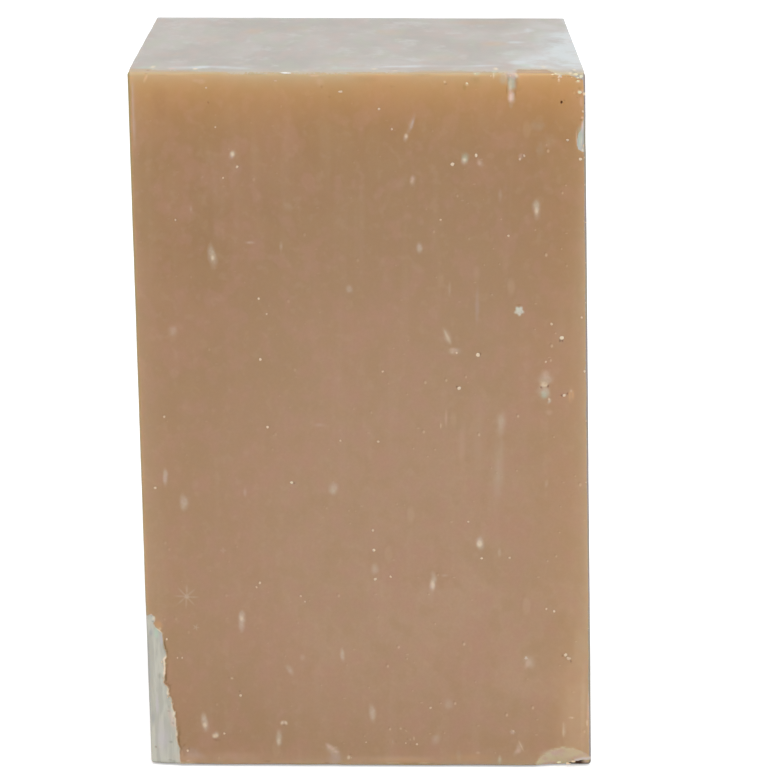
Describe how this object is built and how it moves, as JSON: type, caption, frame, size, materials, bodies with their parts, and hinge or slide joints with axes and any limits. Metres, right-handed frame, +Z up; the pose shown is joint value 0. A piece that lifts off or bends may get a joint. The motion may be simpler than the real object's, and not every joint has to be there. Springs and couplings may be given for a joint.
{
  "type": "bar of soap",
  "caption": "Hand-cut rectangular bar of hard household soap, standing on its end, with cut faces front and back and worn, chipped arrises.",
  "frame": {"origin": "middle of the bar's box, on the foot that it stands on", "axes": "+Z up along the bar's length, +X to the right as the cut front is seen, and the cut front towards -Y"},
  "size_m": [0.0542, 0.048, 0.0834],
  "materials": {
    "soap": "dull, waxy and slightly translucent"
  },
  "bodies": {
    "root": {"soap_bar": "soap"}
  },
  "joints": []
}
